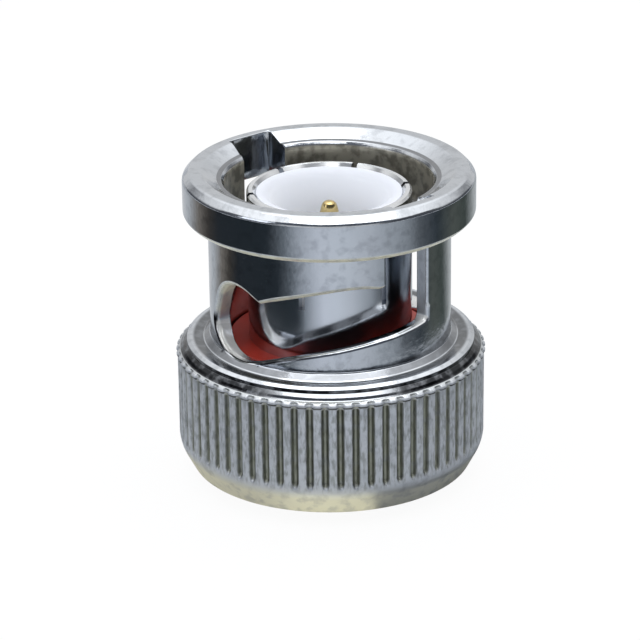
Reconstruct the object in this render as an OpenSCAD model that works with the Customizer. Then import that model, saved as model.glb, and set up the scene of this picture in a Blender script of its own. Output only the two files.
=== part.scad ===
// BNC connector, plug half, as a short plug that stands on its rear face.
// Millimetres. +Z runs from the rear face (z = 0) to the mating end.

/* [Coupling nut] */
// Diameter over the knurl
knurl_d = 14.8; // [14.4:0.05:15.2]
// Number of knurl teeth
knurl_count = 64; // [48:4:72]
// Depth of the knurl grooves
knurl_depth = 0.24; // [0.1:0.01:0.3]
// Length of the coupling nut
nut_l = 14.75; // [14.5:0.05:15.2]
// Diameter of the front rim
rim_d = 13.88; // [13.6:0.02:14.2]
// Height of the front rim
rim_h = 2.22; // [1.8:0.02:2.6]
// Diameter of the plain neck that carries the two cam slots
neck_d = 11.54; // [11.3:0.02:11.8]
// Diameter of the bore that runs over the socket
bore_d = 9.84; // [9.78:0.01:9.9]
// Width of the straight channel that lets a stud in
entry_w = 2.4; // [2.2:0.02:2.6]
// Diameter across the outer walls of the two channels
channel_d = 12.24; // [11.9:0.02:12.5]

/* [Plug] */
// Height of the outer contact's tip above the rear face
sleeve_top = 14.23; // [14.0:0.01:14.4]
// Outside diameter of the slotted outer contact
sleeve_od = 7.84; // [7.7:0.01:7.9]
// Inside diameter of the outer contact
sleeve_id = 6.94; // [6.8:0.01:7.1]
// Number of cuts across the outer contact (each makes two slits)
sleeve_cuts = 3; // [2:1:4]
// Width of each slit
slit_w = 0.28; // [0.2:0.01:0.4]
// Height at which the slits end
slit_z = 9.5; // [8:0.1:11]
// Diameter of the centre pin
pin_d = 1.35; // [1.32:0.01:1.38]
// Height of the centre pin's tip
pin_top = 13.6; // [13.2:0.05:14.0]
// Diameter of the insulator's open front chamber
well_d = 4.9; // [4.75:0.01:5.1]
// Height of the chamber's floor
well_z = 8.7; // [8:0.1:9.5]
// Height of the gasket's front face
gasket_top = 6.93; // [6.6:0.01:7.1]

/* [Rear] */
// How far the rear cap stands below the coupling nut
foot_h = 0.5; // [0.4:0.05:0.8]
// Diameter of the rear cap
cap_d = 11.2; // [10.6:0.1:11.6]
// Sheet thickness of the wave washer
wave_t = 0.25; // [0.2:0.01:0.3]

/* [Hidden] */
$fn = 96;

e = 0.01;
rk = knurl_d / 2;
rn = neck_d / 2;
rb = bore_d / 2;
rr = rim_d / 2;
top = foot_h + nut_l;
rim_z = top - rim_h;

// rear end of the works, from the back forwards
chamber_r = 6.2;
groove_r = 6.6;
groove_z0 = 1.72;
groove_z1 = 2.38;
wave_z0 = 2.7;
flange_z0 = 3.9;
flange_z1 = 4.9;
shoulder_z = 4.92;
seat_z = 5.7;
root_z = 4.2;
barrel_z = 0.95;
barrel_r = 4.9;
shank_r = 0.9;

// the outer contact grips the body and the gasket with a slow taper, which ends at the gasket's face
function grip_r(z) = sleeve_od / 2 + 0.022 * (gasket_top - z);

// one cam slot, unrolled on the neck: [turn from the middle of the entry channel, upper edge, lower edge]
entry_turn = 39.3;
slot_edges = [[12, 10.9, 9.02], [5, 11, 8.9], [-2, 11.05, 8.83], [-12, 11.1, 8.7], [-21, 11.2, 8.54],
              [-27, 11.22, 8.43], [-33, 11.2, 8.33], [-39.4, 11.1, 8.21], [-48.6, 10.91, 8.02],
              [-58.1, 10.7, 7.81], [-65, 10.52, 7.6], [-70, 10.39, 7.43], [-74.5, 10.27, 7.28],
              [-77, 10.47, 7.2], [-80, 10.63, 7.12], [-84, 10.79, 7.04], [-88.7, 10.9, 7.02],
              [-93.2, 10.88, 7.07], [-97.7, 10.7, 7.19], [-101.3, 10.38, 7.32], [-104, 9.98, 7.46],
              [-106.3, 9.46, 7.62], [-108, 8.98, 7.76], [-109.6, 8.72, 7.94], [-110.7, 8.45, 8.14]];

// the direction in which the slot's walls are cut, at each turn
function cut_dir(t) = lookup(t, [[-111, -91.3], [-75, -91.3], [-60, -62], [-30, -30], [-10, -8], [12, 0]]);

// a point of the slot's edge, moved along the cut's direction by d
function edge_point(t, z, d) = let (a = t + entry_turn, m = cut_dir(t) + entry_turn)
    [rn * sin(a) + d * sin(m), -rn * cos(a) - d * cos(m), z];

// ramp and pocket of one cam slot, swept round the neck
module ramp_and_pocket() {
    n = len(slot_edges);
    pts = [for (s = slot_edges) for (k = [0:3])
        edge_point(s[0], (k == 1 || k == 2) ? s[1] : s[2], k < 2 ? -1.4 : 0.5)];
    sides = [for (i = [0:n - 2]) for (k = [0:3]) let (m = (k + 1) % 4)
        [i * 4 + k, i * 4 + m, i * 4 + 4 + m, i * 4 + 4 + k]];
    polyhedron(points = pts, faces = concat([[3, 2, 1, 0]], sides,
        [[n * 4 - 4, n * 4 - 3, n * 4 - 2, n * 4 - 1]]), convexity = 6);
}

// a whole cam slot: channel, ramp and pocket
module cam_slot() {
    ramp_and_pocket();
    // the straight channel, open at the rim
    rotate([0, 0, entry_turn])
        translate([-entry_w / 2, -channel_d / 2, 9.15])
            cube([entry_w, channel_d / 2, top]);
    // the channel's far side is relieved inside the neck
    rotate([0, 0, entry_turn])
        translate([0, 0, 9.25])
            linear_extrude(height = rim_z - 9.25 - 0.1)
                polygon([[0, -5.62], [entry_w / 2, -5.62], [1.75, -4.6], [1.75, -3], [0, -3]]);
}

module nut_turned() {
    rotate_extrude()
        polygon([[rk - 0.65, foot_h], [rk - 0.13, 1.55], [rk - 0.02, 1.95], [rk - 0.02, 6.0],
                 [rk + 0.03, 6.05], [rk + 0.03, 6.12], [rk - 0.1, 6.3], [6.98, 6.72], [6.84, 6.84],
                 [6.08, 6.87], [5.95, 6.89], [5.86, 6.95], [5.8, 7.04], [rn, 7.17],
                 [rn, rim_z], [rr - 0.25, rim_z], [rr, rim_z + 0.25], [rr, top - 0.35],
                 [rr - 0.35, top], [6.0, top], [5.31, top - 0.37], [rb, top - 0.8],
                 [rb, shoulder_z], [chamber_r, shoulder_z], [chamber_r, groove_z1],
                 [groove_r, groove_z1], [groove_r, groove_z0], [chamber_r, groove_z0],
                 [chamber_r, foot_h + 0.2], [chamber_r + 0.2, foot_h]]);
}

module knurl_cuts() {
    pitch = 360 / knurl_count;
    w = PI * knurl_d / knurl_count;
    for (i = [0:knurl_count - 1])
        rotate([0, 0, i * pitch + pitch / 2 + 0.4])
            rotate([90, 0, 90])
                translate([0, 0, -0.3 * w])
                    linear_extrude(height = 0.6 * w)
                        polygon([[-rk - 1, 1.3], [-rk + 0.02 + knurl_depth, 2.2],
                                 [-rk + 0.02 + knurl_depth, 5.95], [-rk - 1, 5.95]]);
}

module coupling_nut() {
    color([0.80, 0.81, 0.80])
        difference() {
            nut_turned();
            cam_slot();
            rotate([0, 0, 180]) cam_slot();
            knurl_cuts();
        }
}

module retaining_ring() {
    color([0.62, 0.62, 0.60])
        difference() {
            translate([0, 0, groove_z0 + 0.02])
                cylinder(r = groove_r - 0.02, h = groove_z1 - groove_z0 - 0.04);
            translate([0, 0, 0])
                cylinder(r = 5.25, h = 4);
            translate([-1.2, 4, 0])
                cube([2.4, 4, 4]);
        }
}

module thrust_washer() {
    color([0.74, 0.73, 0.68])
        translate([0, 0, 2.4])
            difference() {
                cylinder(r = 6.1, h = 0.28);
                translate([0, 0, -1])
                    cylinder(r = 5.0, h = 3);
            }
}

// thin ring bent into three waves
module wave_washer() {
    n = 72;
    zt = flange_z0 - 0.01;
    zb = wave_z0;
    ri = 5.1;
    ro = 6.05;
    mid = (zt + zb - wave_t) / 2;
    amp = (zt - zb - wave_t) / 2;
    pts = [for (i = [0:n - 1]) for (k = [0:3])
        let (a = i * 360 / n, r = (k == 0 || k == 3) ? ri : ro,
             z = mid + amp * cos(3 * a) + (k > 1 ? wave_t : 0))
        [r * cos(a), r * sin(a), z]];
    quads = [for (i = [0:n - 1]) for (k = [0:3])
        let (j = (i + 1) % n, m = (k + 1) % 4)
        [i * 4 + k, i * 4 + m, j * 4 + m, j * 4 + k]];
    color([0.70, 0.71, 0.72])
        polyhedron(points = pts, faces = quads, convexity = 6);
}

module plug_body() {
    color([0.78, 0.79, 0.78])
        rotate_extrude()
            polygon([[3.6, barrel_z], [barrel_r - 0.15, barrel_z], [barrel_r, barrel_z + 0.15],
                     [barrel_r, flange_z0], [6.12, flange_z0], [6.12, flange_z1],
                     [rb - 0.06, flange_z1], [rb - 0.06, seat_z], [grip_r(seat_z), seat_z],
                     [grip_r(root_z), root_z], [2.9, root_z], [2.9, 1.7], [3.6, 1.7]]);
}

module rear_cap() {
    color([0.78, 0.79, 0.78])
        rotate_extrude()
            polygon([[0, 0], [cap_d / 2 - 0.3, 0], [cap_d / 2, 0.3], [cap_d / 2, barrel_z - 0.1],
                     [cap_d / 2 - 0.1, barrel_z], [3.6, barrel_z], [3.6, 1.6], [3.5, 1.7], [0, 1.7]]);
}

module outer_contact() {
    ro = sleeve_od / 2;
    ri = sleeve_id / 2;
    color([0.84, 0.85, 0.84])
        difference() {
            rotate_extrude()
                polygon([[ri, root_z], [grip_r(root_z), root_z], [grip_r(seat_z), seat_z],
                         [ro, gasket_top], [ro, sleeve_top - 0.1], [ro - 0.1, sleeve_top],
                         [ri + 0.16, sleeve_top], [ri, sleeve_top - 0.2]]);
            for (i = [0:sleeve_cuts - 1])
                rotate([0, 0, 40 + i * 180 / sleeve_cuts])
                    translate([-slit_w / 2, -5, slit_z])
                        cube([slit_w, 10, 8]);
        }
}

module dielectric() {
    ro = sleeve_id / 2;
    color([0.95, 0.96, 0.98])
        rotate_extrude()
            polygon([[1.3, root_z], [ro, root_z], [ro, sleeve_top - 0.12],
                     [2.87, sleeve_top - 0.12], [well_d / 2, sleeve_top - 0.54],
                     [well_d / 2, well_z], [shank_r, well_z], [shank_r, 5], [1.3, 5]]);
}

module centre_pin() {
    r = pin_d / 2;
    color([0.83, 0.66, 0.33])
        rotate_extrude()
            polygon([[0, root_z], [1.3, root_z], [1.3, 5], [shank_r, 5], [shank_r, well_z],
                     [r, well_z], [r, pin_top - 0.95],
                     [r - 0.06, pin_top - 0.8], [0.42, pin_top - 0.2], [0.36, pin_top - 0.08],
                     [0.24, pin_top - 0.02], [0.1, pin_top], [0, pin_top]]);
}

module gasket() {
    color([0.55, 0.12, 0.07])
        rotate_extrude()
            polygon([[grip_r(seat_z), seat_z], [rb - 0.07, seat_z], [rb - 0.07, gasket_top - 0.09],
                     [rb - 0.13, gasket_top - 0.03], [grip_r(gasket_top - 0.03), gasket_top - 0.03]]);
}

module load_resistor() {
    color([0.30, 0.28, 0.26])
        translate([0, 0, 1.7])
            cylinder(r = 1.5, h = root_z - 1.7);
}

coupling_nut();
retaining_ring();
thrust_washer();
wave_washer();
plug_body();
rear_cap();
outer_contact();
dielectric();
centre_pin();
gasket();
load_resistor();
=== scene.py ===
# %% [markdown]
# A BNC plug, seen from the front and a little above.
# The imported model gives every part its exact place, so this lesson only adds the finishes,
# the finer surfaces, the light and the camera.

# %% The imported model
import bpy
import math
import numpy as np
from mathutils import Matrix, Vector
from mathutils.geometry import delaunay_2d_cdt


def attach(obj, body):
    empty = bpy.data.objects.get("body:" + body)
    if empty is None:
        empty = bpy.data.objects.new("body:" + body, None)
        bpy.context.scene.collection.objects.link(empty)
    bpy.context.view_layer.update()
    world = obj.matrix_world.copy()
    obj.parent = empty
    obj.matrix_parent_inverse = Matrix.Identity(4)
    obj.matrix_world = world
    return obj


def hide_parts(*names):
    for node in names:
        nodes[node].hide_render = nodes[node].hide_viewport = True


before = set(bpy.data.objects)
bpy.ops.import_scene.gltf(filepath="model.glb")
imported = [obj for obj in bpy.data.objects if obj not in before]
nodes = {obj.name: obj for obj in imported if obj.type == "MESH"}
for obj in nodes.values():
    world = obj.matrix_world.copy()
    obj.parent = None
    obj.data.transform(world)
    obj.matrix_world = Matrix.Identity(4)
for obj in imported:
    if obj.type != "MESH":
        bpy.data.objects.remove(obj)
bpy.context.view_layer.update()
print("parts:", sorted(nodes))

# %% [markdown]
# Colours are written as the hex values that a screen shows.
# The renderer adds light in linear numbers, so one function turns the one into the other.
# One more small function adds a shader node, sets its values and joins its inputs,
# so that every finish below reads as a short list.

# %% Colours and nodes
MM = 0.001

def hexa(h):
    """Linear colour of an sRGB hex: c/12.92 up to 0.04045, and ((c + 0.055)/1.055)^2.4 above it."""
    c = np.array([int(h[i:i + 2], 16) for i in (1, 3, 5)]) / 255
    lin = np.where(c <= 0.04045, c / 12.92, ((c + 0.055) / 1.055) ** 2.4)
    return (*lin.tolist(), 1.0)

def add(tree, kind, links=(), values=(), **settings):
    """Adds a node: links are (input, source node, output), values are (input, value), settings are fields."""
    n = tree.nodes.new(kind)
    for key, value in settings.items():
        setattr(n, key, value)
    for socket, value in values:
        n.inputs[socket].default_value = value
    for socket, source, out in links:
        tree.links.new(source.outputs[out], n.inputs[socket])
    return n

print("mid grey in linear numbers:", round(hexa("#808080")[0], 3))

# %% [markdown]
# A finish changes over a part: paler on an end face, darker in a groove. Each such place is a mask,
# a number from 0 to 1 that is the product of a few soft steps in height, radius or direction.
# Colours are then laid over one another through their masks, as coats of paint go through stencils.
# A texture painted by hand would do too, but masks in millimetres need no unwrapping, and they meet
# the steps of the shape exactly.

# %% Masks and coats
def mask(tree, *factors, join="MULTIPLY"):
    """The product of factors, or the largest of them: each is a node or a soft step.

    A step is (measure, from, to, value at from, value at to). It holds its values at both ends and eases
    between them by 3t^2 - 2t^3. A measure is (node, output, unit), so lengths can be given in millimetres.
    """
    result = None
    for factor in factors:
        if isinstance(factor, tuple):
            (source, out, unit), start, end, a, b = factor
            factor = add(tree, "ShaderNodeMapRange", [("Value", source, out)],
                         [(1, start * unit), (2, end * unit), (3, a), (4, b)], interpolation_type="SMOOTHSTEP")
        result = factor if result is None else add(
            tree, "ShaderNodeMath", [(0, result, 0), (1, factor, 0)], operation=join)
    return result

def coats(tree, shader, *layers):
    """Lays colours over the shader's own, in order, each as far as its mask says."""
    # On a colour mix, inputs 6 and 7 are the two colours and output 2 is the result
    top = shader.inputs["Base Color"].links[0].from_node
    for factor, h in layers:
        top = add(tree, "ShaderNodeMix", [(0, factor, 0), (6, top, 2)], [(7, hexa(h))], data_type="RGBA")
    tree.links.new(top.outputs[2], shader.inputs["Base Color"])

print("masks and coats ready")

# %% [markdown]
# Every finish starts the same way: one main shader whose colour and gloss drift slowly over the part,
# as handling and polishing leave them, and a very fine bump for the grain of the surface.

# %% The common start of a finish
DRIFT_MM = 2.5             # size of the slow changes in colour and gloss
NOISE_SPAN = 0.35, 0.65    # where most of a noise's values lie
GRAIN_STRENGTH = 0.4

def finish(name, base, metallic, roughness):
    """A new material with its tree, its main shader and a coordinate node for patterns in metres."""
    m = bpy.data.materials.new(name)
    m.use_nodes = True
    t = m.node_tree
    t.nodes.clear()
    shader = add(t, "ShaderNodeBsdfPrincipled", values=[
        ("Base Color", hexa(base)), ("Metallic", metallic), ("Roughness", roughness)])
    add(t, "ShaderNodeOutputMaterial", [("Surface", shader, "BSDF")])
    return m, t, shader, add(t, "ShaderNodeTexCoord")

def wear(name, base, worn, metallic, rough_lo, rough_hi, grain_mm, bump_mm):
    """A finish whose colour and roughness drift slowly, with a fine bump of the given grain and depth."""
    m, t, shader, place = finish(name, base, metallic, rough_lo)
    drift = add(t, "ShaderNodeTexNoise", [("Vector", place, "Object")],
                [("Scale", 1 / (DRIFT_MM * MM)), ("Detail", 3.0)])
    tone = add(t, "ShaderNodeMix", [("Factor", drift, "Fac")], [(6, hexa(base)), (7, hexa(worn))],
               data_type="RGBA")
    dull = add(t, "ShaderNodeMapRange", [("Value", drift, "Fac")],
               zip((1, 2, 3, 4), (*NOISE_SPAN, rough_lo, rough_hi)))
    grain = add(t, "ShaderNodeTexNoise", [("Vector", place, "Object")],
                [("Scale", 1 / (grain_mm * MM)), ("Detail", 2.0)])
    bump = add(t, "ShaderNodeBump", [("Height", grain, "Fac")],
               [("Distance", bump_mm * MM), ("Strength", GRAIN_STRENGTH)])
    for source, out, socket in ((tone, 2, "Base Color"), (dull, 0, "Roughness"), (bump, "Normal", "Normal")):
        t.links.new(source.outputs[out], shader.inputs[socket])
    return m

def opened(m):
    """The tree, the main shader and the coordinate node of a finish."""
    t = m.node_tree
    return t, t.nodes["Principled BSDF"], t.nodes["Texture Coordinate"]

print("drift:", DRIFT_MM, "mm")

# %% [markdown]
# The turned parts are brass under bright nickel plate, a slightly cold mirror with a little haze.
# The contact sleeve has the same plate over a finer cut, so it mirrors more sharply. The pin's thin
# gold over brass is pale yellow where it catches light and brown where it doesn't. The ring and the
# wave washer are rolled spring steel, greyer and duller. Each row gives the base colour, the worn
# colour, metal or not, the lowest and highest roughness, and the grain and its depth in millimetres.

# %% Metals
nickel = wear("nickel_plate_turned", "#CED3DA", "#BEC4CC", 1.0, 0.12, 0.2, 0.2, 0.003)
bright = wear("nickel_plate_contact", "#D2D6DC", "#C6CBD2", 1.0, 0.1, 0.16, 0.2, 0.002)
gold = wear("gold_plate", "#D0BC8C", "#A8935E", 1.0, 0.14, 0.22, 0.08, 0.002)
steel = wear("spring_steel", "#9C9A96", "#8A8884", 1.0, 0.25, 0.4, 0.1, 0.003)
print("metals:", nickel.name, bright.name, gold.name, steel.name)

# %% [markdown]
# PTFE is a waxy white plastic, turned from rod, and it scatters light softly. The gasket is moulded
# silicone rubber, a deep red with a soft sheen. The small rod inside is matt ceramic.

# %% Plastic, rubber and ceramic
ptfe = wear("ptfe_white", "#F7FAFF", "#F2F6FF", 0.0, 0.42, 0.5, 0.15, 0.004)
silicone = wear("silicone_red", "#C23018", "#A02410", 0.0, 0.42, 0.55, 0.12, 0.006)
ceramic = wear("ceramic_rod", "#4A4642", "#3C3834", 0.0, 0.5, 0.6, 0.1, 0.004)
print("others:", ptfe.name, silicone.name, ceramic.name)

# %% [markdown]
# In a white funnel light passes from wall to wall, so the funnel looks brighter than the flat face
# around it. Three parts get one coat each: the insulator's face is painted a little greyer, a painted
# shade for that difference, the gasket is painted dark where it runs behind the slot, a painted shade
# under the nut's wall, and the sleeve's end face is freshly cut and matt, so it stays pale instead of
# mirroring the room.

# %% Insulator, gasket and sleeve
t, shader, place = opened(ptfe)
spot = add(t, "ShaderNodeSeparateXYZ", [("Vector", place, "Object")])
# painted shade: the insulator's flat face is greyer than its funnel
coats(t, shader, (mask(t, ((spot, "Z", MM), 13.7, 14.08, 0, 1)), "#D3D7E0"))

t, shader, place = opened(silicone)
spot = add(t, "ShaderNodeSeparateXYZ", [("Vector", place, "Object")])
x, y = (spot, "X", MM), (spot, "Y", MM)
# painted shade: the gasket is darkened where it runs behind the slot, under the nut's wall
painted_shade_behind_slot = mask(t, (x, -2.6, -1.2, 0, 0.85), (x, 3.3, 4.2, 1, 0), (y, -4, -3, 1, 0))
coats(t, shader, (painted_shade_behind_slot, "#2A0E0A"))

t, shader, place = opened(bright)
spot = add(t, "ShaderNodeSeparateXYZ", [("Vector", place, "Object")])
facing = add(t, "ShaderNodeSeparateXYZ", [("Vector", place, "Normal")])
end_face = mask(t, ((spot, "Z", MM), 13.3, 13.5, 0, 1), ((facing, "Z", 1), 0.3, 0.6, 0, 1))
coats(t, shader, (end_face, "#D2D4D6"))
MATT_END = -0.3    # the end face is this much less metallic
metal = add(t, "ShaderNodeMath", [(0, end_face, 0)], [(1, MATT_END), (2, 1.0)], operation="MULTIPLY_ADD")
t.links.new(metal.outputs[0], shader.inputs["Metallic"])
print("coats on:", ptfe.name, silicone.name, bright.name)

# %% [markdown]
# The coupling nut is cast and then turned, plated, and handled for years. Its plate is cloudy, its
# grooves are painted darker, and dark lines of painted shade lie in its corners, with more painted
# light and shade on its slots and underside. All of it is one material, built up in the next cells,
# and its masks step over these measures of place.

# %% The nut's plate and its measures
cast = wear("nickel_plate_cast", "#CFD3D8", "#B9BEC5", 1.0, 0.09, 0.16, 0.25, 0.014)
t, shader, place = opened(cast)
spot = add(t, "ShaderNodeSeparateXYZ", [("Vector", place, "Object")])
level = add(t, "ShaderNodeCombineXYZ", [("X", spot, "X"), ("Y", spot, "Y")])
distance = add(t, "ShaderNodeVectorMath", [("Vector", level, 0)], operation="LENGTH")
sideways = add(t, "ShaderNodeMath", [(0, spot, "X")], operation="ABSOLUTE")
facing = add(t, "ShaderNodeSeparateXYZ", [("Vector", place, "Normal")])
x, y, z = ((spot, axis, MM) for axis in "XYZ")
radius, aside, up = (distance, 1, MM), (sideways, 0, MM), (facing, "Z", 1)
print("nodes before the masks:", len(t.nodes))

# %% [markdown]
# The faces that look down are painted cream, painted light for the warm light that the floor throws
# up, and the metal is turned down there so that they hardly mirror at all. The valleys of the knurl
# are painted a darker grey-green, and its crests are chalky where the plate has worn.

# %% Underside and knurl
# painted light: faces that look down get a cream tint for the light thrown up by the floor
painted_bounce_under = mask(t, (up, -0.7, -0.15, 0.9, 0.0))
low = mask(t, (z, 6.2, 6.4, 1.0, 0.0))
above_bevel = mask(t, (z, 1.7, 2.1, 0.0, 1.0))
# the knurl's valleys are painted a darker grey-green
darker_valleys = mask(t, low, (radius, 7.22, 7.36, 0.8, 0.0), above_bevel)
chalk = mask(t, low, (radius, 7.24, 7.35, 0, 0.4))
print("nodes after the knurl:", len(t.nodes))

# %% [markdown]
# The shoulder is a set of narrow turned rings. In each corner between two rings a dark line of
# painted shade is laid, and that line is what draws the ring to the eye. The step below the rings
# gets painted shade that grows darker towards both sides, and a painted shadow lies under the
# knurl's lip. The first cone under the neck is painted darker too, a painted shade so that it
# doesn't flash white all round.

# %% Shoulder
# painted shade on the five masks below: a dimmed cone, dark lines in the ring corners, a step darker at the sides, and
# a shadow under the knurl's lip
painted_shade_cone = mask(t, (radius, 5.8, 5.83, 0, 0.7), (radius, 6.08, 6.12, 1, 0), (z, 6.9, 6.94, 0, 1), (z, 7.3, 7.4, 1, 0))
ring = mask(t, (radius, 6.1, 6.13, 0, 0.8), (radius, 6.5, 6.68, 1, 0), (z, 6.82, 6.85, 0, 1), (z, 6.94, 6.98, 1, 0))
painted_shade_ring_foot = mask(t, (radius, 6.86, 6.9, 0, 1), (z, 6.62, 6.65, 0, 1), (z, 6.78, 6.82, 1, 0))
painted_shade_lower_step = mask(t, (radius, 6.9, 6.94, 0, 1), (radius, 7.2, 7.26, 1, 0), (z, 6.3, 6.36, 0, 1),
                  (z, 6.8, 6.9, 1, 0), (aside, 1.6, 3.8, 0.35, 0.97))
painted_shadow_knurl_top = mask(t, (radius, 7.3, 7.34, 0, 0.95), (z, 6.02, 6.06, 0, 1), (z, 6.12, 6.16, 1, 0))
print("nodes after the shoulder:", len(t.nodes))

# %% [markdown]
# The slots' cut walls are rougher than the turned skin. Their edge under the pocket is painted dark, a
# painted shade, the long ledge of the ramp is painted dark in the middle, a painted shade, and the
# floor of the pocket is painted almost white, a painted highlight. The bore is unpolished: a warm grey
# with dark pits. A thin dark ring of painted shade lines the bevel inside the rim.

# %% Slots and bore
cut = mask(t, (radius, 4.94, 5.02, 0, 1), (radius, 5.62, 5.72, 1, 0), (z, 12.8, 12.95, 1, 0), (up, 0.3, 0.6, 1, 0))
# painted shade: a dark band along the slot's edge under the pocket
painted_shade_slot_edge = mask(t, (radius, 5.58, 5.64, 0, 0.95), (radius, 5.762, 5.768, 1, 0), (z, 8.4, 8.9, 1, 0),
                 (x, -1.6, -0.4, 1, 0), (y, 0, 0.5, 1, 0))
# painted shade: the ramp's ledge is dark in the middle
painted_shade_ledge = mask(t, (radius, 4.94, 5.0, 0, 0.85), (radius, 5.5, 5.6, 1, 0), (z, 12.8, 12.95, 1, 0),
             (up, 0.3, 0.6, 0, 1), (aside, 3.4, 4.0, 1, 0))
# painted highlight: the pocket's floor at the sides is almost white
painted_light_pocket = mask(t, (radius, 4.94, 5.0, 0, 0.8), (radius, 5.66, 5.74, 1, 0), (z, 9.0, 9.6, 1, 0),
              (up, 0.15, 0.4, 0, 1), (aside, 3.6, 4.3, 0, 1))
bore = mask(t, (radius, 4.94, 5.0, 1, 0), (z, 12.2, 12.8, 0, 1))
# painted shade: a thin dark ring on the bevel inside the rim
painted_shade_rim_bevel = mask(t, (radius, 5.06, 5.1, 0, 0.8), (radius, 5.29, 5.33, 1, 0), (z, 14.7, 14.75, 0, 1))
print("nodes after the slots and the bore:", len(t.nodes))

# %% [markdown]
# Two noises make the plate uneven. Clouds half a millimetre wide dim the skin and pit the bore.
# Grit in the knurl is stretched along the teeth, as a wheel drags it, and is drawn coarser than
# real grit, at 0.14 mm, so that it shows.

# %% Clouds, pits and grit
CLOUD_MM, GRIT_MM = 0.5, 0.14
clouds = add(t, "ShaderNodeTexNoise", [("Vector", place, "Object")], [("Scale", 1 / (CLOUD_MM * MM)), ("Detail", 5.0)])
cloud = mask(t, ((clouds, "Fac", 1), 0.45, 0.7, 0, 0.45))
pits = mask(t, bore, ((clouds, "Fac", 1), 0.4, 0.62, 0, 0.8))
tall = add(t, "ShaderNodeMapping", [("Vector", place, "Object")], [("Scale", (1, 1, 0.3))])
specks = add(t, "ShaderNodeTexNoise", [("Vector", tall, 0)], [("Scale", 1 / (GRIT_MM * MM)), ("Detail", 3.0)])
grit = mask(t, ((specks, "Fac", 1), 0.42, 0.7, 0, 0.5), (z, 6.0, 6.1, 1.0, 0.0), above_bevel)
print("clouds:", CLOUD_MM, "mm, grit:", GRIT_MM, "mm")

# %% [markdown]
# The coats go on from the widest to the finest. Where the metal is bare, worn or chalky, and where
# light is painted on the underside and the pocket's floor, the surface stops being a mirror, so the
# metallic value falls there and the roughness rises. The knurl is the dullest part, since every hand
# that locks the plug rubs it.

# %% The nut's coats and gloss
# painted light: the cream underside and the white pocket floor; painted shade: the cone, slot edge, rings, step, line
# under the lip, ledge and rim bevel
coats(t, shader, (painted_bounce_under, "#E6E2C6"), (darker_valleys, "#8A8B76"), (painted_shade_cone, "#4E5054"), (painted_shade_slot_edge, "#101215"),
      (ring, "#2A2C2E"), (painted_shade_ring_foot, "#14161A"), (painted_shade_lower_step, "#16181B"), (painted_shadow_knurl_top, "#1C1E22"),
      (cloud, "#989CA2"), (painted_shade_ledge, "#2C2D30"), (bore, "#ACA89A"), (pits, "#6E6C62"), (painted_shade_rim_bevel, "#6A6C70"),
      (grit, "#5E6058"), (painted_light_pocket, "#F6F6F4"))
INNER_BARE, INNER_ROUGH, KNURL_ROUGH = 0.5, 0.2, 0.36
inner = mask(t, cut, bore, join="MAXIMUM")
inner_bare = add(t, "ShaderNodeMath", [(0, inner, 0)], [(1, INNER_BARE)], operation="MULTIPLY")
bare_and_painted_light = mask(t, painted_bounce_under, inner_bare, chalk, painted_light_pocket, join="MAXIMUM")
metal = add(t, "ShaderNodeMath", [(1, bare_and_painted_light, 0)], [(0, 1.0)], operation="SUBTRACT", use_clamp=True)
t.links.new(metal.outputs[0], shader.inputs["Metallic"])
plain = shader.inputs["Roughness"].links[0].from_node
more = add(t, "ShaderNodeMath", [(1, low, 0), (2, plain, 0)], [(0, KNURL_ROUGH)], operation="MULTIPLY_ADD")
matt = add(t, "ShaderNodeMath", [(0, inner, 0), (2, more, 0)], [(1, INNER_ROUGH)], operation="MULTIPLY_ADD")
t.links.new(matt.outputs[0], shader.inputs["Roughness"])
print("nodes in the nut's finish:", len(t.nodes))

# %% [markdown]
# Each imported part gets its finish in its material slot. The nut, the insulator and the pin keep theirs
# too, although finer surfaces stand in for them below.

# %% Finishes on the parts
finishes = {"coupling_nut": cast, "retaining_ring": steel, "thrust_washer": nickel, "wave_washer": steel,
            "plug_body": nickel, "rear_cap": nickel, "outer_contact": bright, "dielectric": ptfe,
            "centre_pin": gold, "gasket": silicone, "load_resistor": ceramic}
for name, m in finishes.items():
    mesh = nodes[name].data
    mesh.materials.clear()
    mesh.materials.append(m)
print("finishes:", len(finishes))

# %% [markdown]
# The coupling nut is one closed skin, and its edges make it look real: each is slightly rounded and
# catches a thin bright line. Its cross-section is a closed path, so most of it is that path turned
# round the axis. A Screw or Spin of a drawn curve would do for a plain ring, but the slots and the
# knurl need to know where they are on the section, so the path is kept as numbers.

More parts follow.
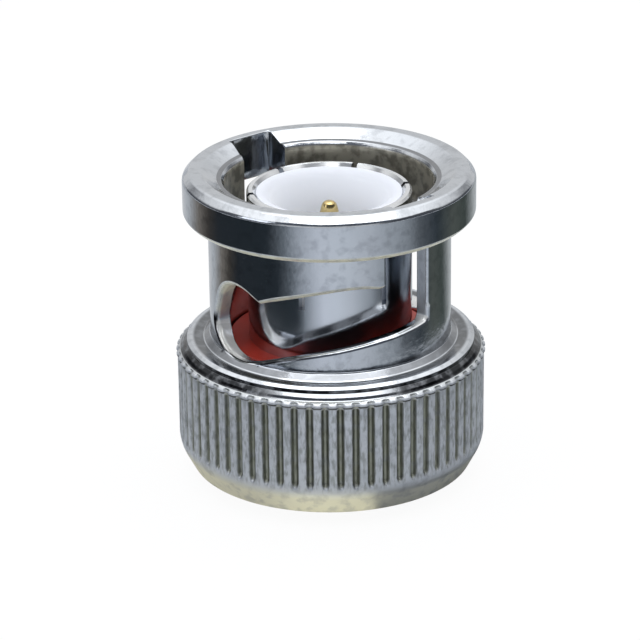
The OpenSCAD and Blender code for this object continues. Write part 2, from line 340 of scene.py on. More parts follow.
# %% The nut's cross-section
heights = [(nodes["coupling_nut"].matrix_world @ Vector(c)).z / MM for c in nodes["coupling_nut"].bound_box]
REAR, TOP = round(min(heights), 3), round(max(heights), 3)
BORE, NECK, RIM, LAND = 4.92, 5.77, 6.94, 7.38    # radii of the bore, the neck, the rim and the knurl
RIM_Z = TOP - 2.22
SECTION = [    # radius, height, and how far before the corner its curve starts
    (6.57, REAR, 0), (6.4, REAR, 0.04), (6.2, REAR + 0.2, 0.04), (6.2, 1.72, 0.03), (6.6, 1.72, 0.03),
    (6.6, 2.38, 0.03), (6.2, 2.38, 0.03), (6.2, 4.92, 0.05),
    (BORE, 4.92, 0.05), (BORE, TOP - 0.62, 0.14), (5.1, TOP - 0.4, 0.06), (5.3, TOP - 0.39, 0.03),
    (6.0, TOP, 0.07), (RIM - 0.35, TOP, 0.1), (RIM, TOP - 0.35, 0.12), (RIM, RIM_Z + 0.25, 0.1),
    (RIM - 0.25, RIM_Z, 0.1), (NECK, RIM_Z, 0.05), (NECK, 7.17, 0.06), (6.07, 6.92, 0.04),
    (6.16, 6.85, 0.03), (6.73, 6.94, 0.04), (6.91, 6.81, 0.02), (6.91, 6.65, 0.02), (7.08, 6.51, 0.03),
    (7.18, 6.38, 0.04), (7.34, 6.29, 0.04), (7.43, 6.21, 0.03), (7.43, 6.12, 0.02), (LAND, 6.07, 0.02),
    (LAND, 1.85, 0.25), (7.25, 1.45, 0.12), (6.75, REAR, 0.08), (6.57, REAR, 0)]
CURVE = 5    # points on each corner's curve

def rounded(corners, n=CURVE):
    """Path through (r, z, cut) corners: each is a quadratic curve from cut mm before it to cut mm after it."""
    c = np.array(corners, float)
    p, d = c[:, :2], np.diff(c[:, :2], axis=0)
    d /= np.linalg.norm(d, axis=1)[:, None]
    v = np.linspace(0, 1, n)[None, :, None]
    before, after, reach = d[:-1, None], d[1:, None], c[1:-1, 2][:, None, None]
    at = p[1:-1, None] - reach * before * (1 - v) ** 2 + reach * after * v ** 2
    way = before * (1 - v) + after * v
    at = np.concatenate([p[:1], at.reshape(-1, 2), p[-1:]])
    way = np.concatenate([d[:1], way.reshape(-1, 2), d[-1:]])
    return at, way / np.linalg.norm(way, axis=1)[:, None]

path_p, path_t = rounded(SECTION)
path_s = np.concatenate([[0], np.cumsum(np.linalg.norm(np.diff(path_p, axis=0), axis=1))])
print("section:", len(path_p), "points,", round(path_s[-1], 1), "mm round")

# %% [markdown]
# A place on the nut is now two numbers: an azimuth, and a length along the section. These helpers
# turn them into a point and the direction that the surface faces there.

# %% Places on the section
# Straight pieces of the section, each by the number of the corner that it leaves
BORE_WALL, RIM_TOP, RIM_UNDER, NECK_WALL, RING, LAST_RING, KNURL, BEVEL = 8, 12, 16, 17, 20, 25, 29, 30
UP = np.array([0.0, 0.0, 1.0])

def on_section(s):
    """Radius, height, and the direction of the path (r and z parts) at a length s along it."""
    return [np.interp(s, path_s, a) for a in (*path_p.T, *path_t.T)]

def length_at(corner, r=None, z=None):
    """Length along the straight piece that leaves a corner of the section, where it has this r or z."""
    i = CURVE * corner
    axis, value = (0, r) if z is None else (1, z)
    a, b = path_p[i, axis], path_p[i + 1, axis]
    return path_s[i] + (value - a) / (b - a) * (path_s[i + 1] - path_s[i])

def around(theta):
    """Horizontal direction at an azimuth in radians, counted from -Y towards +X."""
    return np.stack([np.sin(theta), -np.cos(theta), 0 * theta], -1)

def skin(theta, s):
    """Point and outward direction of the turned surface at azimuth theta and length s."""
    r, z, tr, tz = on_section(s)
    out = around(theta)
    return r[..., None] * out + z[..., None] * UP, -tz[..., None] * out + tr[..., None] * UP

print("neck runs from", round(length_at(NECK_WALL, z=RIM_Z), 2), "mm along the section")

# %% [markdown]
# Two cam slots run through the neck. Each starts as a straight channel at the rim, where the stud of
# a socket goes in, slopes down a quarter turn as a ramp, and ends in a round pocket behind a small
# tooth. A slot is one closed line drawn twice, on the outside and in the bore. A boolean cut would
# leave ragged triangles along it, so the line is drawn first and the skin is built up to it.

# %% The outline of a cam slot
ENTRY = 39.3        # azimuth of the channel's middle, in degrees
HALF = 1.2          # half of the channel's width
BACK_WALL = 6.12    # from the axis to the channel's outer wall
FLARE = 10.0        # degrees by which the channel's right side opens
SIDE = math.degrees(math.asin(HALF / NECK))
CHANNEL_LOW_LEFT, CHANNEL_LOW_RIGHT = 11.6, 9.16    # heights where the straight sides begin
# (degrees from the channel's middle, height), down the upper side of the ramp and back along its floor
upper = [(-SIDE, CHANNEL_LOW_LEFT), (-SIDE, 11.1), (-21, 11.19), (-33, 11.19), (-48.6, 10.92), (-58.1, 10.7),
         (-68, 10.45), (-73.2, 10.31), (-74.6, 10.23), (-75.8, 10.3), (-80, 10.49), (-84, 10.63),
         (-88.7, 10.7), (-93.2, 10.66), (-97.7, 10.49), (-101.3, 10.2), (-104, 9.86), (-106.3, 9.4),
         (-108, 9.03), (-109.6, 8.74), (-110.5, 8.45)]
lower = [(-110.5, 8.3), (-109.7, 8.09), (-108, 7.88), (-104, 7.6), (-98.3, 7.37), (-93.2, 7.26),
         (-88.7, 7.21), (-84, 7.22), (-78, 7.35), (-70, 7.6), (-58.1, 7.96), (-39.4, 8.34), (-21, 8.64),
         (-2, 8.88), (6, 8.95), (SIDE - 0.2, 9.02), (SIDE, CHANNEL_LOW_RIGHT)]
print("slot side at", round(SIDE, 2), "degrees")

# %% [markdown]
# Corner cutting turns the listed points into a smooth line, and an even spacing keeps the
# triangles beside it regular. The ease function is the soft step that shapes much of what follows.

# %% Smooth lines and soft steps
def softened(line, rounds=2):
    """Corner cutting: every straight piece keeps its quarter and three-quarter points."""
    q = np.array(line, float)
    for _ in range(rounds):
        pairs = np.stack([0.75 * q[:-1] + 0.25 * q[1:], 0.25 * q[:-1] + 0.75 * q[1:]], 1)
        q = np.concatenate([q[:1], pairs.reshape(-1, 2), q[-1:]])
    return q

def evenly(line, spacing):
    """The same line of (degrees, height) with points about spacing mm apart on the neck."""
    d = np.hypot(np.diff(line[:, 0]) * math.radians(NECK), np.diff(line[:, 1]))
    s = np.concatenate([[0], np.cumsum(d)])
    at = np.linspace(0, s[-1], int(s[-1] / spacing) + 1)
    return np.stack([np.interp(at, s, line[:, 0]), np.interp(at, s, line[:, 1])], 1)

def ease(x, a, b):
    """0 below a, 1 above b, and 3t^2 - 2t^3 between."""
    t = np.clip((x - a) / (b - a), 0, 1)
    return t * t * (3 - 2 * t)

SPACING = 0.09    # mm between points of the slot's line
ramp = evenly(np.concatenate([softened(upper), softened(lower)]), SPACING)
print("ramp:", len(ramp), "points")

# %% [markdown]
# Both lines are written as (azimuth, length along the section), point for point, so the wall is what
# joins them. Along the ramp the cutter came in at a slant, which shifts the line in the bore.

# %% From the line on the neck to the line in the bore
def on_bore(z):
    """Length along the section at this height in the bore."""
    return length_at(BORE_WALL, z=z)

def on_neck(z):
    """Length along the section at this height on the neck."""
    return length_at(NECK_WALL, z=z)

def cut_to(a, m, r):
    """Azimuth at radius r of the point reached from the neck at azimuth a along a cut that points along m."""
    p = NECK * around(a)
    along = (p * around(m)).sum(-1)
    q = p - (along - np.sqrt(along ** 2 - NECK ** 2 + r ** 2))[:, None] * around(m)
    return np.arctan2(q[:, 0], -q[:, 1])

def both(z, turn, cut, drop=0.0):
    """Outer and inner (theta, s) where a cut that points cut degrees from the channel meets neck and bore."""
    a = np.radians(turn)
    return np.stack([a, on_neck(z)], 1), np.stack([cut_to(a, np.radians(cut), BORE), on_bore(z - drop)], 1)

SLANT = np.array([(-111, -91.3), (-75, -91.3), (-60, -62), (-30, -30), (-SIDE, 0), (2, 0), (SIDE, -FLARE)])
FLOOR_DROP = 0.3    # how far the ramp's floor falls from the neck to the bore
ramp_s = np.linalg.norm(np.diff(ramp, axis=0, prepend=ramp[:1]) * [math.radians(NECK), 1], axis=1).cumsum()
turning, end = ramp_s[np.argmin(ramp[:, 0])], ramp_s[-1]
drop = FLOOR_DROP * ease(ramp_s, turning, turning + 1.2) * (1 - ease(ramp_s, end - 0.25, end))
ramp_out, ramp_in = both(ramp[:, 1], ramp[:, 0], np.interp(ramp[:, 0], *SLANT.T), drop)
print("ramp:", round(end, 1), "mm long, its far end at", round(turning, 1), "mm")

# %% [markdown]
# At the channel both lines climb the rim and meet its back wall, one underneath the rim and one on
# top. The side walls are parallel to the channel, so their azimuth follows from their radius.

# %% The channel through the rim
RIM_START = 12.9    # height where the plain sides of the channel end
CORNER_R = math.hypot(HALF, BACK_WALL)

def climb(s0, s1, u):
    """The channel's side wall from s0 to s1: its azimuth is asin(half width / radius)."""
    s = s0 + (s1 - s0) * u
    return np.stack([np.arcsin(HALF / on_section(s)[0]), s], 1)

under0, under1 = length_at(RIM_UNDER, r=CORNER_R), on_neck(RIM_START)
top0, top1 = length_at(RIM_TOP, r=CORNER_R), on_bore(RIM_START)
stops = [(path_s - a) / (b - a) for a, b in ((under1, under0), (top1, top0))]
u = np.unique(np.round(np.concatenate([*stops, np.linspace(0, 1, 17)]), 4))
u = u[(u >= 0) & (u <= 1)]
u = u[np.append(np.diff(u) > 0.004, True)]
rim_out, rim_in = climb(under1, under0, u), climb(top1, top0, u)
r_in = on_section(rim_in[:, 1])[0]
flared = cut_to(0 * r_in + math.radians(SIDE), 0 * r_in - math.radians(FLARE), r_in)
rim_right = np.stack([np.where(r_in < NECK, flared, rim_in[:, 0]), rim_in[:, 1]], 1)
print("rim walls:", len(u), "points each")

# %% [markdown]
# The straight sides below the rim and the back wall complete the pieces. They are joined in order
# round the slot, and two shares are kept beside them: where the line is on the rim, whose edges stay
# crisp, and where it is on the ramp's floor, whose edge is worn rounder.

# %% Both lines of the slot
z_left, z_right = np.linspace(CHANNEL_LOW_LEFT, RIM_START, 10), np.linspace(CHANNEL_LOW_RIGHT, RIM_START, 27)
left_out, left_in = both(z_left, 0 * z_left - SIDE, 0 * z_left)
right_out, right_in = both(z_right, 0 * z_right + SIDE, 0 * z_right - FLARE)
back = np.linspace(1, -1, 9)[1:-1] * math.asin(HALF / CORNER_R)
back_out, back_in = (np.stack([back, length_at(piece, r=BACK_WALL / np.cos(back))], 1)
                     for piece in (RIM_UNDER, RIM_TOP))

MIRROR = np.array([-1, 1])
pieces_out = [(rim_out * MIRROR)[::-1], left_out[-2:0:-1], ramp_out, right_out[1:], rim_out[1:], back_out]
pieces_in = [(rim_in * MIRROR)[::-1], left_in[-2:0:-1], ramp_in, right_in[1:], rim_right[1:], back_in]
line_out, line_in = np.concatenate(pieces_out), np.concatenate(pieces_in)
none = [np.zeros(len(piece)) for piece in pieces_out]
on_rim = ease(u, 0, 0.1)
on_floor = ease(ramp_s, turning, turning + 1) * (1 - ease(ramp_s, end - 0.3, end))
rim_share = np.concatenate([on_rim[::-1], *none[1:4], on_rim[1:], none[5] + 1])
floor_share = np.concatenate([*none[:2], on_floor, *none[3:]])
print("slot line:", len(line_out), "points,", len(line_in), "in the bore")

# %% [markdown]
# Each sheet of triangles is kept in a list until the whole skin is there. A sheet knows which way it
# faces, so every triangle can be turned to agree with it.

# %% Sheets of triangles
sheets = []

def keep(p, nrm, tri):
    """Adds a sheet of triangles; each triangle is turned to face the way that its directions point."""
    p, nrm, tri = p.reshape(-1, 3), nrm.reshape(-1, 3), np.asarray(tri)
    a, b, c = (p[tri[:, k]] for k in range(3))
    face = np.cross(b - a, c - a)
    wrong = (face * nrm[tri].sum(1)).sum(1) < 0
    tri = np.where(wrong[:, None], tri[:, ::-1], tri)
    sheets.append((p[tri], nrm[tri]))

def grid_tri(rows, cols):
    """Triangles of a grid of points, row by row, whose last column meets the first."""
    i, j = np.mgrid[0:rows - 1, 0:cols]
    a, b = i * cols + j, i * cols + (j + 1) % cols
    c, d = a + cols, b + cols
    return np.concatenate([np.stack([a, b, d], -1), np.stack([a, d, c], -1)]).reshape(-1, 3)

print("a closed band of 2 rows of 4 points has", len(grid_tri(2, 4)), "triangles")

# %% [markdown]
# A slot's edge is a short curve: it leaves the skin a little way outside the line, passes under the
# sharp corner and runs into the wall. The Bevel modifier can't change its width along an edge, and
# here the width does change, so the curve is worked out for every point of the line at once.

# %% Walls with rounded edges
def pushed(line, scale, by):
    """A closed (theta, s) line moved outwards by a distance, mitred at its corners."""
    q = line * [scale, 1]
    e = np.roll(q, -1, 0) - q
    e /= np.linalg.norm(e, axis=1)[:, None]
    nrm = np.stack([e[:, 1], -e[:, 0]], 1)
    area = (q[:, 0] * np.roll(q[:, 1], -1) - q[:, 1] * np.roll(q[:, 0], -1)).sum()
    nrm *= np.sign(area)
    mid = nrm + np.roll(nrm, 1, 0)
    mid /= np.maximum((mid * nrm).sum(1), 0.5)[:, None]
    return (q + mid * by[:, None]) / [scale, 1]

def edge_curve(start, corner, end, n):
    """Points and directions of the curves (1-v)^2 start + 2v(1-v) corner + v^2 end, one curve a column."""
    v = np.linspace(0, 1, n)[:, None, None]
    way = (1 - v) * (corner - start) + v * (end - corner)
    return (1 - v) ** 2 * start + 2 * v * (1 - v) * corner + v ** 2 * end, way

def slot_wall(line_o, line_i, skin_o, skin_i, by_w, by_i):
    """The strip from the skin of the neck, round both edges of the wall, to the skin of the bore."""
    o, i = skin(*line_o.T)[0], skin(*line_i.T)[0]
    way = i - o
    way /= np.linalg.norm(way, axis=1)[:, None]
    start, low_o = skin(*skin_o.T)[0], o + way * by_w[:, None]
    first, down_o = edge_curve(start, 0.5 * o + 0.25 * (start + low_o), low_o, 7)
    last, down_i = edge_curve(i - way * by_i[:, None], i, skin(*skin_i.T)[0], 5)
    plain = first[-1] + np.linspace(0, 1, 6)[1:-1, None, None] * (last[0] - first[-1])
    p = np.concatenate([first, plain, last])
    down = np.concatenate([down_o, way + 0 * plain, down_i])
    nrm = np.cross(down, np.roll(p, -1, 1) - np.roll(p, 1, 1))
    nrm /= np.maximum(np.linalg.norm(nrm, axis=-1), 1e-12)[..., None]
    nrm *= np.sign((nrm[0] * skin(*skin_o.T)[1]).sum())
    keep(p, nrm, grid_tri(*p.shape[:2]))

print("wall helpers ready")

# %% [markdown]
# Flat sheets of triangles fill the skin around the lines. They are laid in the unrolled plane, where
# a line is simple to walk around, and are rolled up again. Blender's own triangulation keeps the
# lines as edges, so the skin and the walls meet point for point.

# %% The skin around the slots
CLEAR_MM = 0.06    # loose points stay this far from a line

def inside(points, ring):
    """Which points lie inside a closed line, by counting the crossings of a ray along +x."""
    x, y = points.T[:, :, None]
    (x0, y0), (x1, y1) = ring.T, np.roll(ring, -1, 0).T
    over = (y0 > y) != (y1 > y)
    with np.errstate(divide="ignore", invalid="ignore"):
        cross = x < x0 + (y - y0) * (x1 - x0) / (y1 - y0)
    return (over & cross).sum(1) % 2 == 1

def skin_sheet(columns, rows, rings, scale):
    """The skin between two rows of the section, with the rings left open."""
    a, s = np.meshgrid(columns, rows)
    loose = np.stack([a.ravel(), s.ravel()], 1)
    border = np.zeros(a.shape, bool)
    border[[0, -1]] = border[:, [0, -1]] = True
    near = np.zeros(len(loose), bool)
    for ring in rings:
        far = (loose[:, None] - ring[None]) * [scale, 1]
        near |= inside(loose, ring) | ((far ** 2).sum(-1).min(1) < CLEAR_MM ** 2)
    pts, edges = loose[~near | border.ravel()], []
    for ring in rings:
        k = len(pts) + np.arange(len(ring))
        edges += np.stack([k, np.roll(k, -1)], 1).tolist()
        pts = np.concatenate([pts, ring])
    out = delaunay_2d_cdt([Vector(v) for v in (pts * [scale, 1]).tolist()], edges, [], 0, 1e-7)
    source = np.array([v[0] for v in out[3]])
    tri = source[np.array(out[2])]
    for ring in rings:
        tri = tri[~inside(pts[tri].mean(1), ring)]
    keep(*skin(*pts.T), tri)
    return len(tri)

print("skin helpers ready")

# %% [markdown]
# The knurl is 64 straight teeth. Across a tooth the groove is a trapezoid with soft corners, and at
# the lower end its floor climbs out at a slant, as the tip of a cutting wheel leaves it.
# The columns of the grid follow the corners of the teeth, twelve to a tooth, and every fourth
# column goes on over the plain parts.

# %% The knurl
TEETH, DEPTH, FIRST = 64, 0.24, math.radians(0.4)
PITCH = 2 * math.pi / TEETH
SOFT = 0.03    # mm over which the groove's floor and the skin blend
phase = np.array([-0.5, -0.35, -0.3, -0.25, -0.2, -0.1, 0, 0.1, 0.2, 0.25, 0.3, 0.35])
fine = ((np.arange(TEETH)[:, None] + phase).ravel() * PITCH) + FIRST
coarse = fine[::4]

def groove(theta, s):
    """How far the knurl lies under the turned surface: the smooth larger of nothing and skin minus groove floor."""
    r, z = on_section(s)[:2]
    x = np.abs((theta - FIRST) / PITCH % 1.0 - 0.5)
    share = 1 - ease(x, 0.1, 0.33)
    floor = LAND + 0.05 - (DEPTH + 0.05) * share + np.maximum(2.2 - z, 0) * 0.9
    deep = (r - floor) * (1 - ease(z, 5.94, 6.04))
    main = (deep + np.sqrt(deep ** 2 + SOFT ** 2)) / 2 * ease(z, 1.66, 1.9) * (1 - ease(z, 6.01, 6.05))
    return main + 0.1 * share * ease(z, 5.98, 6.05) * ease(r, 7.27, 7.38)

def knurled(theta, s):
    """Point and outward direction of the knurled surface, the direction from central differences."""
    def point(th, sl):
        r, z = on_section(sl)[:2]
        return (r - groove(th, sl))[..., None] * around(th) + z[..., None] * UP
    h = 1e-4
    nrm = np.cross(point(theta + h, s) - point(theta - h, s), point(theta, s - h) - point(theta, s + h))
    return point(theta, s), nrm / np.linalg.norm(nrm, axis=-1)[..., None]

print("knurl:", TEETH, "teeth,", len(fine), "columns")

# %% [markdown]
# Plain bands have few columns and the knurl has many. Between them runs a zipper, a narrow band whose
# triangles fan four fine columns onto one coarse one, so that no edge is left open.

# %% Bands round the nut
def filled(a, b, spacing, extra=()):
    """Lengths from a to b: every point of the section between them, and more, no further apart than spacing."""
    s = np.unique(np.concatenate([[a, b], path_s[(path_s > a + 1e-6) & (path_s < b - 1e-6)], extra]))
    return np.concatenate([np.linspace(u, v, max(1, math.ceil((v - u) / spacing - 1e-9)), endpoint=False)
                           for u, v in zip(s[:-1], s[1:]) if v - u > 1e-9] + [[b]])

def turned(s, columns):
    """A closed band of the skin."""
    th, ss = np.meshgrid(columns, s)
    keep(*skin(th, ss), grid_tri(*th.shape))

def zipper(s_fine, s_coarse):
    """A band that joins a row of the fine columns to a row of the coarse ones, four to one."""
    p, nrm = skin(np.concatenate([fine, coarse]), np.concatenate([0 * fine + s_fine, 0 * coarse + s_coarse]))
    f, c = np.arange(len(fine)), len(fine) + np.arange(len(coarse))
    near = c[((f + 2) // 4) % len(c)]
    fans = np.stack([f, np.roll(f, -1), near], 1)
    caps = np.stack([c, np.roll(c, -1), f[2::4]], 1)
    keep(p, nrm, np.concatenate([fans, caps]))

print("bands ready")

# %% [markdown]
# When all sheets are there, points that fall together become one, and each corner of a triangle
# keeps the direction that the formula gave it. Those custom directions shade the rounded edges
# smoothly without more triangles.

# %% One closed mesh
WELD_MM = 2e-5

def merged(name, m, body, node):
    """One closed mesh from all the kept sheets: equal points become one, and each corner keeps its direction."""
    p, nrm = (np.concatenate(part) for part in zip(*sheets))
    sheets.clear()
    key = np.round(p.reshape(-1, 3) / WELD_MM).astype(np.int64)
    _, first, index = np.unique(key, axis=0, return_index=True, return_inverse=True)
    tri = index.reshape(-1, 3)
    good = (tri[:, 0] != tri[:, 1]) & (tri[:, 1] != tri[:, 2]) & (tri[:, 0] != tri[:, 2])
    tri, nrm = tri[good], nrm[good]
    pair = np.sort(np.concatenate([tri[:, [0, 1]], tri[:, [1, 2]], tri[:, [2, 0]]]), axis=1)
    shared = np.unique(pair, axis=0, return_counts=True)[1]
    mesh = bpy.data.meshes.new(name)
    mesh.from_pydata(p.reshape(-1, 3)[first] * MM, [], tri)
    mesh.shade_smooth()
    mesh.normals_split_custom_set(nrm.reshape(-1, 3))
    mesh.materials.append(m)
    piece = bpy.data.objects.new(name, mesh)
    bpy.context.scene.collection.objects.link(piece)
    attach(piece, body)
    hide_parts(node)
    print(name, len(mesh.polygons), "triangles, edges not shared by two:", int((shared != 2).sum()))

print("points closer than", WELD_MM, "mm become one")

# %% [markdown]
# The nut is put together in order round its section. First come the parts without slots: the rear
# and the works chamber, the rim's outside, the shoulder, and the knurl between its two zippers.

# %% The nut's rear, rim, shoulder and knurl
CUT_R = 6.42    # radius on the rim beyond the channels, where the slotted sheets end
bore_s, top_s = on_bore(6.4), length_at(RIM_TOP, r=CUT_R)
under_s, neck_s = length_at(RIM_UNDER, r=CUT_R), length_at(RING, r=6.6)
knurl_top, knurl_low = length_at(LAST_RING, r=7.26), length_at(BEVEL, z=1.42)
ZIP_TOP, ZIP_LOW = 0.02, 0.1    # widths of the zippers

turned(filled(0, bore_s, 1.5), coarse)
turned(filled(top_s, under_s, 0.5), coarse)
turned(filled(neck_s, knurl_top - ZIP_TOP, 0.5), coarse)
zipper(knurl_top, knurl_top - ZIP_TOP)
# The grooves begin and end within a fraction of a millimetre, so more rows go there
knurl_z = (6.05, 6.04, 6.01, 5.98, 5.94, 5.88, 4.4, 2.9, *np.arange(2.35, 1.9, -0.05))
knurl_rows = filled(knurl_top, knurl_low, 1.5, [length_at(KNURL, z=z) for z in knurl_z])
th, ss = np.meshgrid(fine, knurl_rows)
keep(*knurled(th, ss), grid_tri(*th.shape))
zipper(knurl_low, knurl_low + ZIP_LOW)
turned(filled(knurl_low + ZIP_LOW, path_s[-1], 0.6), coarse)
print("plain sheets:", len(sheets))

# %% [markdown]
# Then come the two slots, half a turn apart, and the bore and the neck round them. The edge's width
# varies: a quarter of a millimetre along the ramp, a little more on its floor, less at the tight
# corners of the tooth and the channel, and almost crisp on the rim.

# %% The slots, the bore and the neck
EDGE, EDGE_FLOOR, EDGE_TIGHT, EDGE_RIM, EDGE_BORE = 0.26, 0.05, -0.1, 0.05, 0.06
FLOOR_SKIN = 0.04                    # the floor's edge is this much narrower on the skin than on the wall
TOOTH, TOOTH_WIDTH = -75, 7          # degrees from the channel to the tooth's tip, and how far it is felt
UPPER_SIDE = 9.6                     # points above this height are on the slot's upper side
SEAM = 139    # the column where the unrolled sheets begin and end, clear of both slots
columns = np.concatenate([coarse[SEAM:], coarse[:SEAM + 1] + 2 * math.pi])
degrees, height = np.degrees(line_out[:, 0]), on_section(line_out[:, 1])[1]
tight = np.maximum(np.exp(-((degrees - TOOTH) / TOOTH_WIDTH) ** 2), ease(degrees, -24, -15)) * (height > UPPER_SIDE)
on_wall = (EDGE + EDGE_FLOOR * floor_share + EDGE_TIGHT * tight) * (1 - rim_share) + EDGE_RIM * rim_share
on_skin = on_wall - FLOOR_SKIN * floor_share
in_bore = EDGE_BORE + 0 * rim_share
rings_out, rings_in = [], []
for turn in (ENTRY, ENTRY + 180):
    shift = np.array([math.radians(turn), 0])
    slot_out, slot_in = line_out + shift, line_in + shift
    ring_out, ring_in = pushed(slot_out, NECK, on_skin), pushed(slot_in, BORE, in_bore)
    slot_wall(slot_out, slot_in, ring_out, ring_in, on_wall, in_bore)
    lap = 2 * math.pi * (ring_out[:, 0].min() < columns[0])
    rings_out.append(ring_out + [lap, 0])
    rings_in.append(ring_in + [lap, 0])
print("bore:", skin_sheet(columns, filled(bore_s, top_s, 0.3), rings_in, BORE))
print("neck:", skin_sheet(columns, filled(under_s, neck_s, 0.25), rings_out, NECK))
merged("coupling_nut_skin", cast, "nut", "coupling_nut")

# %% [markdown]
# The white insulator is a soft plastic turned with a wide funnel in front, so light runs down its
# wall and fades slowly. The pin ends in a long taper with a small round tip. Both are paths turned
# round the axis, as the nut is, with more points on each corner because their curves are wider.

# %% The insulator and the pin
LATHE_COLUMNS, LATHE_CURVE = 144, 9

def lathe(corners):
    """Keeps the surface of a closed or axis-to-axis path of (r, z, cut) corners, turned round the axis."""
    at, way = rounded(corners, LATHE_CURVE)
    out = around(np.linspace(0, 2 * math.pi, LATHE_COLUMNS + 1)[:-1])[None]
    p = at[:, 0, None, None] * out + at[:, 1, None, None] * UP
    nrm = -way[:, 1, None, None] * out + way[:, 0, None, None] * UP
    keep(p, nrm, grid_tri(len(at), LATHE_COLUMNS))

lathe([(0.9, 5.0, 0), (0.9, 8.7, 0.05), (2.45, 8.7, 0.3), (2.45, 12.9, 0.7), (2.95, 14.11, 0.45),
       (3.47, 14.11, 0.07), (3.47, 4.2, 0.05), (1.3, 4.2, 0.05), (1.3, 5.0, 0.05), (0.9, 5.0, 0)])
merged("insulator", ptfe, "plug", "dielectric")
lathe([(0, 13.6, 0), (0.24, 13.6, 0.16), (0.38, 13.38, 0.14), (0.45, 13.05, 0.1), (0.675, 12.3, 0.2),
       (0.675, 8.7, 0.01), (0.9, 8.7, 0.02), (0.9, 5.0, 0.03), (1.3, 5.0, 0.05), (1.3, 4.2, 0.05), (0, 4.2, 0)])
merged("contact_pin", gold, "plug", "centre_pin")

# %% [markdown]
# The camera stands 153 mm away, 22 degrees above the horizon, with a long lens, as for a small product.
# A small shift and a tilt of half a degree place the plug in the frame.

# %% Camera
scene = bpy.context.scene
LIFT, TILT = math.radians(22.279), math.radians(-0.61)
aim = Vector((0, 0, 7.5025 * MM))
back = Vector((0, -math.cos(LIFT), math.sin(LIFT)))
lens = bpy.data.cameras.new("camera")
camera = bpy.data.objects.new("camera", lens)
scene.collection.objects.link(camera)
camera.location = aim + back * 152.93 * MM
camera.rotation_euler = ((-back).to_track_quat("-Z", "Y").to_matrix() @ Matrix.Rotation(TILT, 3, "Z")).to_euler()
lens.sensor_width = 36
lens.lens = 179.229375
lens.shift_x = -0.01640625
lens.clip_start, lens.clip_end = 0.01, 10
scene.camera = camera
print("lens:", round(lens.lens, 1), "mm")

# %% [markdown]
# A metal shows what stands around it, so the light for it is mostly a matter of pale and dark places.
# The room grows brighter upwards. In front it has a dark gap, which gives the sloping rings and bevels
# their dark lines, and darker panels stand at both sides, low in front and higher behind. The camera
# itself sees plain white instead of the room, so the background stays white without any more light.

# %% The room
scene.view_settings.view_transform = "Standard"
world = bpy.data.worlds.new("room")
scene.world = world
world.use_nodes = True
w = world.node_tree
w.nodes.clear()
where = add(w, "ShaderNodeTexCoord")
axis = add(w, "ShaderNodeSeparateXYZ", [("Vector", where, "Generated")])
apart = add(w, "ShaderNodeMath", [(0, axis, "X")], operation="ABSOLUTE")
across, ahead, above = (apart, 0, 1), (axis, "Y", 1), (axis, "Z", 1)

brightness = add(w, "ShaderNodeValToRGB", [("Fac", axis, "Z")])
sky = brightness.color_ramp.elements
sky[0].color, sky[1].color = (0.55, 0.55, 0.55, 1), (1, 1, 1, 1)
for at, value in ((0.38, 0.6), (0.58, 0.8), (0.75, 1.12), (0.86, 1.18)):
    sky.new(at).color = (value, value, value, 1)

gap = mask(w, (above, 0.28, 0.38, 0, 1), (above, 0.89, 0.92, 1, 0), (ahead, -0.42, -0.3, 1, 0))
low_panel = mask(w, (across, 0.5, 0.7, 0, 0.92), (above, 0.2, 0.52, 1, 0))
side_panel = mask(w, (across, 0.62, 0.74, 0, 0.95), (ahead, 0.05, 0.2, 1, 0), (above, 0.62, 0.72, 1, 0))
panels = mask(w, low_panel, side_panel, join="MAXIMUM")
lit = add(w, "ShaderNodeMix", [(0, gap, 0), (6, brightness, 0)], [(7, (0.08, 0.09, 0.11, 1))], data_type="RGBA")
lit = add(w, "ShaderNodeMix", [(0, panels, 0), (6, lit, 2)], [(7, (0.04, 0.045, 0.055, 1))], data_type="RGBA")
room = add(w, "ShaderNodeBackground", [("Color", lit, 2)], [("Strength", 1.35)])
white = add(w, "ShaderNodeBackground", values=[("Color", (1, 1, 1, 1)), ("Strength", 1.0)])
ray = add(w, "ShaderNodeLightPath")
seen = add(w, "ShaderNodeMixShader", [(0, ray, "Is Camera Ray"), (1, room, 0), (2, white, 0)])
add(w, "ShaderNodeOutputWorld", [("Surface", seen, 0)])
print("room:", len(w.nodes), "nodes")

# %% [markdown]
# The floor is white card. To the camera most of it is plain white light, and the rest is the card's
# own shading, which keeps the plug's soft shadow.

# %% The floor
FLOOR_HALF, FLOOR_GLOW, FLOOR_WHITE = 2000, 1.03, 0.92

def card(name, base, roughness):
    """A finish for paper card: no metal and no gloss."""
    m, t, shader, place = finish(name, base, 0.0, roughness)
    shader.inputs["Specular IOR Level"].default_value = 0.0
    return m, t, shader, place

def flat_sheet(name, points, m, height_mm=0.0):
    """A flat sheet through these points, in millimetres."""
    mesh = bpy.data.meshes.new(name)
    mesh.from_pydata([(x * MM, y * MM, height_mm * MM) for x, y in points], [], [range(len(points))])
    mesh.materials.append(m)
    o = bpy.data.objects.new(name, mesh)
    scene.collection.objects.link(o)
    return o

floor_m, t, shader, _ = card("card_white", "#C6C9CE", 0.9)
ray = add(t, "ShaderNodeLightPath")
glow = add(t, "ShaderNodeEmission", values=[("Strength", FLOOR_GLOW)])
share = add(t, "ShaderNodeMath", [(0, ray, "Is Camera Ray")], [(1, FLOOR_WHITE)], operation="MULTIPLY")
mixed = add(t, "ShaderNodeMixShader", [(0, share, 0), (1, shader, 0), (2, glow, 0)])
t.links.new(mixed.outputs[0], t.nodes["Material Output"].inputs["Surface"])
corners = [(-1, -1), (1, -1), (1, 1), (-1, 1)]
flat_sheet("floor", [(x * FLOOR_HALF, y * FLOOR_HALF) for x, y in corners], floor_m)
print("floor:", 2 * FLOOR_HALF, "mm wide")

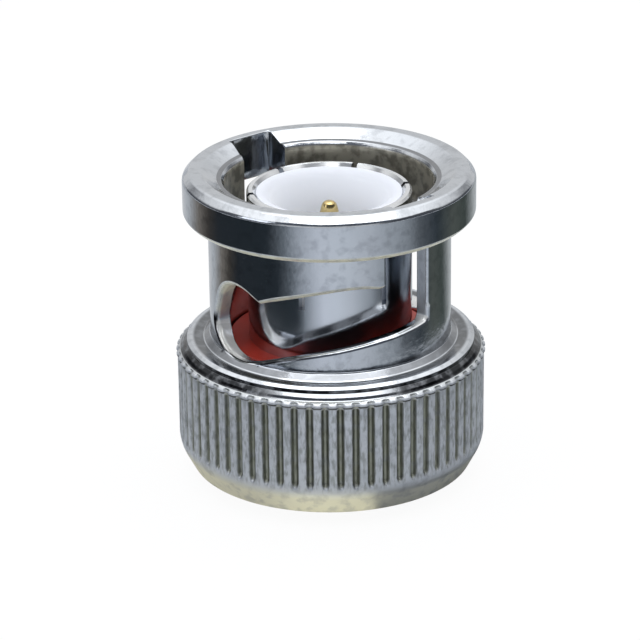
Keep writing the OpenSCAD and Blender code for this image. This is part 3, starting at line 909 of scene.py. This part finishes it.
# %% [markdown]
# The neck and the rim stand upright, so they mirror the floor near the plug and not the room. Cards
# lie there that only reflections see, as paper is laid round a shiny object to give it something to
# mirror. Such a card shines with its own colour for each direction, so the bands on the metal can be
# placed one by one.

# %% Cards that only reflections see
CARD_LIFT = 0.02    # mm above the floor

def wedge(name, a0, a1, r0, r1, m):
    """A flat ring sector between two azimuths (from -Y towards +X, in degrees) and two radii."""
    a = np.radians(np.linspace(a0, a1, 40))
    outer = np.stack([np.sin(a), -np.cos(a)], 1)
    o = flat_sheet(name, (outer * r1).tolist() + (outer[::-1] * r0).tolist(), m, CARD_LIFT)
    o.visible_camera = o.visible_diffuse = o.visible_shadow = o.visible_transmission = False

def glowing(name, stops, strength=1.0):
    """A card that shines with a colour for each direction round the plug, given as degrees from -Y and a hex."""
    m, t, shader, place = card(name, "#000000", 1.0)
    part = add(t, "ShaderNodeSeparateXYZ", [("Vector", place, "Object")])
    front = add(t, "ShaderNodeMath", [(0, part, "Y")], [(1, -1.0)], operation="MULTIPLY")
    bearing = add(t, "ShaderNodeMath", [(0, part, "X"), (1, front, 0)], operation="ARCTAN2")
    share = add(t, "ShaderNodeMath", [(0, bearing, 0)], [(1, 0.5 / math.pi), (2, 0.5)], operation="MULTIPLY_ADD")
    shade = add(t, "ShaderNodeValToRGB", [("Fac", share, 0)])
    marks = shade.color_ramp.elements
    marks[0].color, marks[1].color = hexa(stops[0][1]), hexa(stops[-1][1])
    for turn, h in stops[1:-1]:
        marks.new(turn / 360 + 0.5).color = hexa(h)
    t.links.new(shade.outputs["Color"], shader.inputs["Emission Color"])
    shader.inputs["Emission Strength"].default_value = strength
    return m

print("card helpers ready")

# %% [markdown]
# The outer card is bright in front and behind and dark at both sides, which gives the neck its bright
# middle and dark flanks. The inner one does the same more gently for the knurl. Right beside the
# plug, a cream card warms the lower bevel on the left and a grey one darkens it on the right.

# %% The cards round the plug
card_round = glowing("card_round", [
    (-180, "#D8DADE"), (-162, "#D4D6DA"), (-134, "#C0C4C8"), (-116, "#857F78"), (-102, "#46423E"),
    (-90, "#2E3338"), (-60, "#2A3136"), (-46, "#2B3238"), (-38, "#585E64"), (-32, "#7C838A"),
    (-22, "#BCC2CA"), (-8, "#E0E5EE"), (10, "#DEE4EC"), (28, "#D0D5DC"), (45, "#B4BAC0"), (56, "#A0A6AC"),
    (68, "#64696E"), (85, "#3A4248"), (104, "#5C615C"), (124, "#4A524E"), (145, "#B4B8B8"),
    (160, "#BEC2C6"), (180, "#D8DADE")])
card_inner = glowing("card_inner", [(-180, "#CCD0D2"), (-60, "#D0D4D8"), (-20, "#DADEE2"), (20, "#DADEE2"),
                                    (90, "#B8BCC0"), (180, "#CCD0D2")])
cream = glowing("card_cream", [(-180, "#A8A490"), (-34, "#B2AD98"), (-10, "#F2ECCE"), (180, "#F2ECCE")], 1.6)
grey = card("card_grey", "#25282B", 0.9)[0]
wedge("card_round", -180, 180, 22, 160, card_round)
wedge("card_inner", -180, 180, 9, 22, card_inner)
wedge("card_near_left", -90, 18, 5.7, 8.8, cream)
wedge("card_near_right", 18, 130, 5.7, 8.8, grey)

# %% [markdown]
# Two soft lamps finish the light: a large one high above, slightly in front, and a weak cold one
# from the left. They are weak because the room and the cards do most of the work.

# %% Lamps
def lamp(name, spot, size, power, colour):
    """A square soft lamp of this size and at this spot, both in mm, facing the plug."""
    d = bpy.data.lights.new(name, "AREA")
    d.size, d.energy = size * MM, power
    d.color = hexa(colour)[:3]
    o = bpy.data.objects.new(name, d)
    scene.collection.objects.link(o)
    o.location = Vector(spot) * MM
    o.rotation_euler = (aim - o.location).to_track_quat("-Z", "Y").to_euler()

lamp("key_above", (10, -20, 230), 200, 0.27, "#FFFFFF")
lamp("fill_left", (-220, -120, 140), 120, 0.08, "#F4F7FF")
